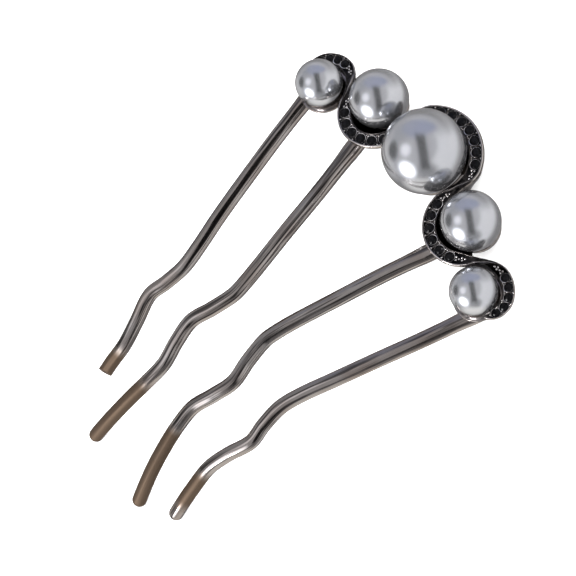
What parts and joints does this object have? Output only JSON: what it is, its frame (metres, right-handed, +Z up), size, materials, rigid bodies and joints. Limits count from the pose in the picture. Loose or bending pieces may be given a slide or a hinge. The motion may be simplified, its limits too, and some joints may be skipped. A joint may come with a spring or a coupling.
{
  "type": "hair fork",
  "caption": "Dark polished metal hair fork with wavy teeth under a weaving, stone-set channel that holds a row of round pearls",
  "frame": {"origin": "centre of the footprint on the surface that the fork lies on, pearls up", "axes": "X across the head and the mirror plane of head and teeth is X = 0, Y along the teeth with the head at +Y, Z up"},
  "size_m": [0.059, 0.0864, 0.0158],
  "materials": {
    "gunmetal": "cast zinc alloy, polished and plated dark grey",
    "pearl": "grey nacre lacquer over a moulded bead",
    "black_stone": "black faceted glass, polished"
  },
  "bodies": {
    "root": {"fork": "gunmetal", "pearl_middle": "pearl", "pearl_inner_left": "pearl", "pearl_inner_right": "pearl", "pearl_outer_left": "pearl", "pearl_outer_right": "pearl", "stone_01": "black_stone", "stone_02": "black_stone", "stone_03": "black_stone", "stone_04": "black_stone", "stone_05": "black_stone", "stone_06": "black_stone", "stone_07": "black_stone", "stone_08": "black_stone", "stone_09": "black_stone", "stone_10": "black_stone", "stone_11": "black_stone", "stone_12": "black_stone", "stone_13": "black_stone", "stone_14": "black_stone", "stone_15": "black_stone", "stone_16": "black_stone", "stone_17": "black_stone", "stone_18": "black_stone", "stone_19": "black_stone", "stone_20": "black_stone", "stone_21": "black_stone", "stone_22": "black_stone", "stone_23": "black_stone", "stone_24": "black_stone", "stone_25": "black_stone", "stone_26": "black_stone", "stone_27": "black_stone", "stone_28": "black_stone", "stone_29": "black_stone", "stone_30": "black_stone"}
  },
  "joints": []
}
